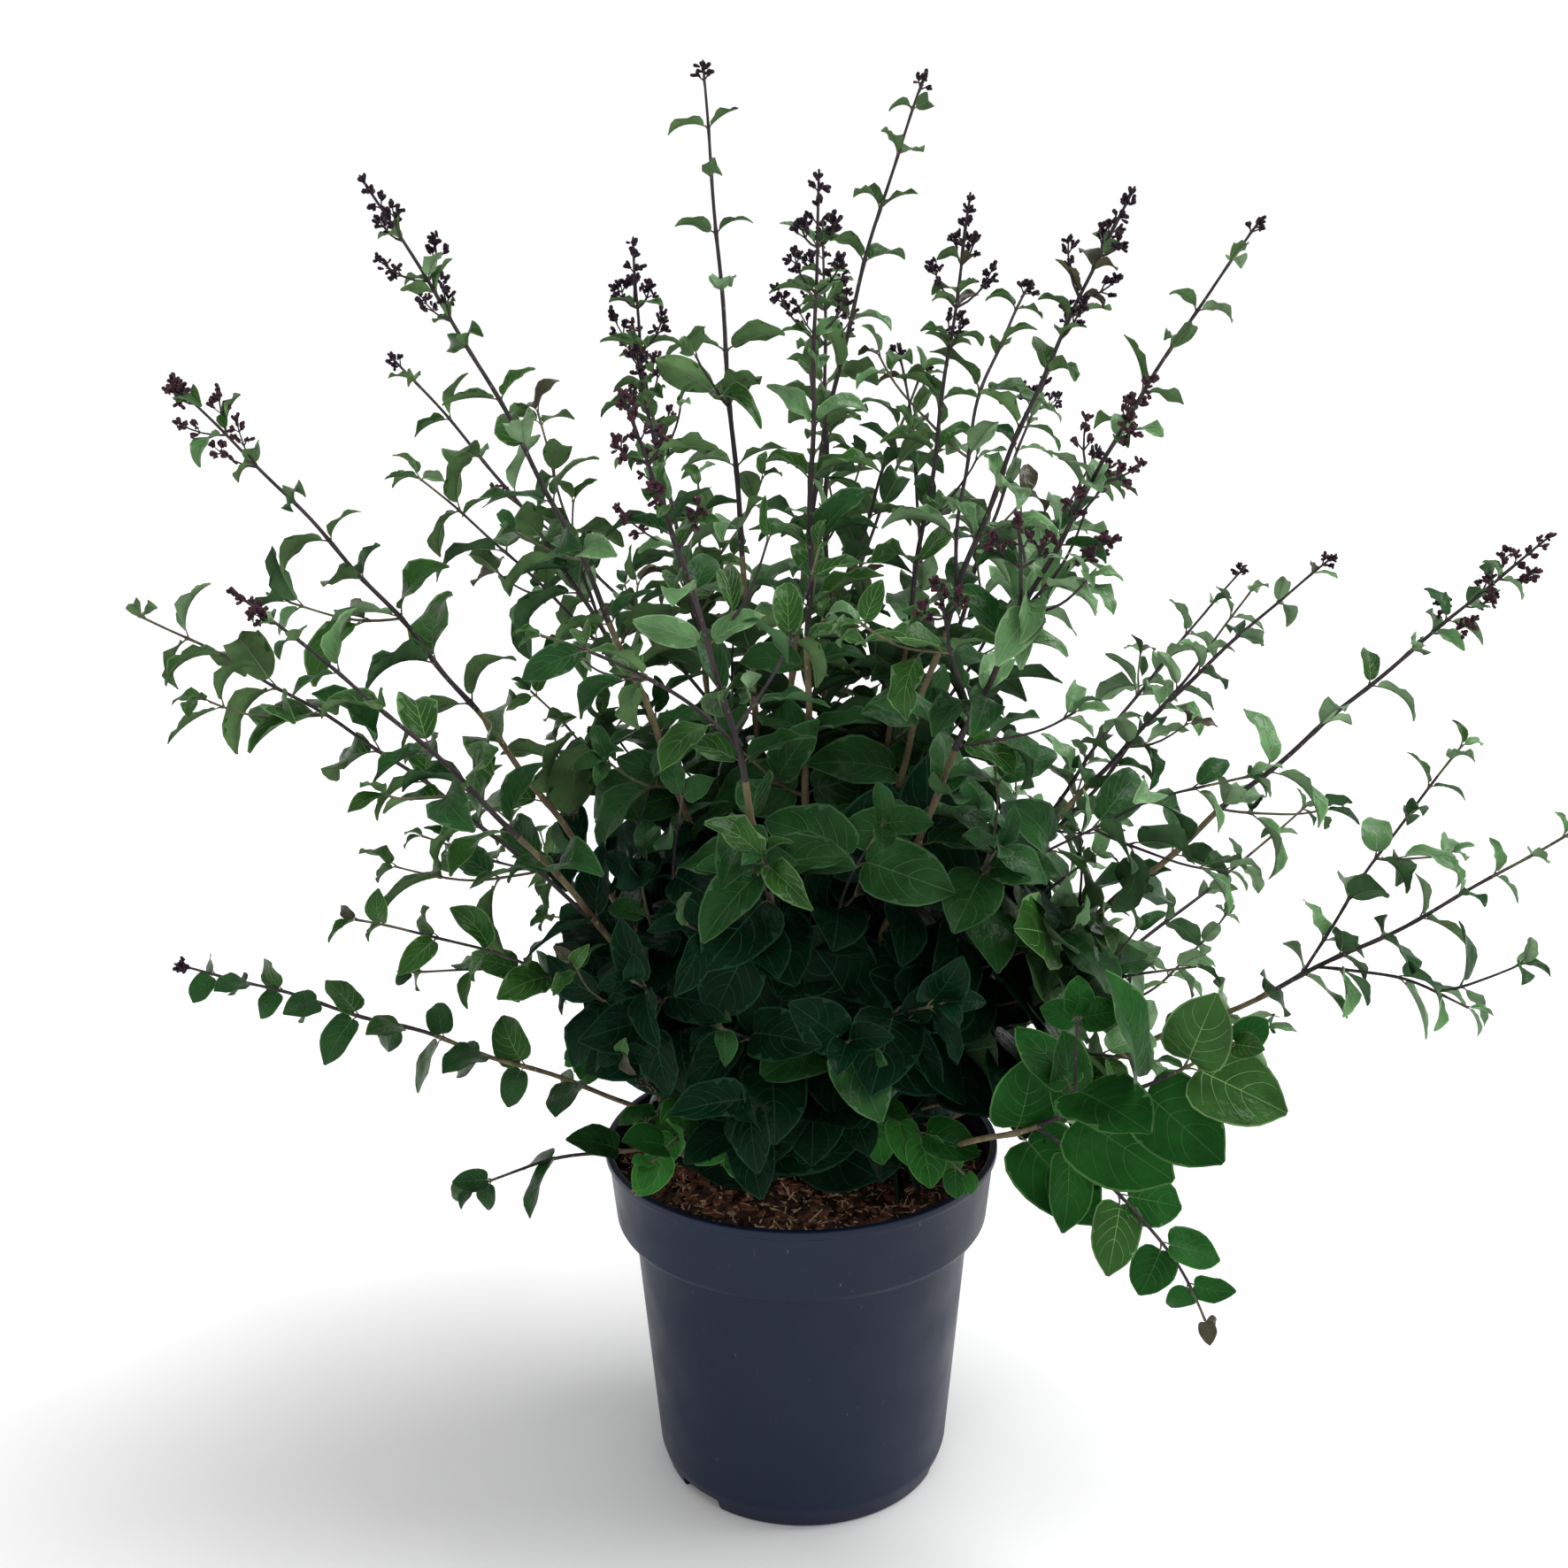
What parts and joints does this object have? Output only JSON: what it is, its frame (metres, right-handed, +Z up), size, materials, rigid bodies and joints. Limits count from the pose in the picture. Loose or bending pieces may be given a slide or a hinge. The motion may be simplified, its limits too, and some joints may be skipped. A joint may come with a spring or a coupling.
{
  "type": "potted lilac bush",
  "caption": "Flowering shrub with upright arching canes, opposite leaves and dark bud panicles, standing in a round nursery pot filled with bark soil.",
  "frame": {"origin": "centre of the pot's flat underside", "axes": "+Z up the pot and the canes, -Y towards the open view of the soil, +X towards the longest shoots"},
  "size_m": [0.99, 0.6971, 0.9859],
  "materials": {
    "pot": "matt slate grey moulded plastic",
    "soil": "coarse bark and wood fibre",
    "bark": "tan to purple brown bark with pale lenticels",
    "foliage": "matt leaf green, fresher at the foot, bronze at some tips",
    "buds": "dark maroon flower buds"
  },
  "bodies": {
    "root": {"cane_back_high": "bark", "cane_back_left": "bark", "cane_back_right": "bark", "cane_front_droop": "bark", "cane_front_left": "bark", "cane_front_right": "bark", "cane_left_back": "bark", "cane_left_front": "bark", "cane_left_high": "bark", "cane_left_mid": "bark", "cane_middle_front": "bark", "cane_middle_left": "bark", "cane_middle_right": "bark", "cane_middle_tall": "bark", "cane_right_back": "bark", "cane_right_back_high": "bark", "cane_right_high": "bark", "cane_right_low": "bark", "cane_right_mid": "bark", "leaves_back_high": "foliage", "leaves_back_left": "foliage", "leaves_back_right": "foliage", "leaves_front_droop": "foliage", "leaves_front_left": "foliage", "leaves_front_right": "foliage", "leaves_inner_back": "foliage", "leaves_inner_back_left": "foliage", "leaves_inner_front": "foliage", "leaves_inner_left": "foliage", "leaves_inner_right": "foliage", "leaves_left_back": "foliage", "leaves_left_front": "foliage", "leaves_left_high": "foliage", "leaves_left_mid": "foliage", "leaves_low_back": "foliage", "leaves_low_back_left": "foliage", "leaves_low_back_right": "foliage", "leaves_low_left": "foliage", "leaves_middle_front": "foliage", "leaves_middle_left": "foliage", "leaves_middle_right": "foliage", "leaves_middle_tall": "foliage", "leaves_right_back": "foliage", "leaves_right_back_high": "foliage", "leaves_right_high": "foliage", "leaves_right_low": "foliage", "leaves_right_mid": "foliage", "leaves_rim_left": "foliage", "leaves_skirt_back": "foliage", "leaves_skirt_back_right": "foliage", "leaves_skirt_front": "foliage", "leaves_skirt_front_left": "foliage", "leaves_skirt_left": "foliage", "leaves_skirt_right": "foliage", "pot": "pot", "root_crown": "bark", "soil": "soil"}
  },
  "joints": []
}
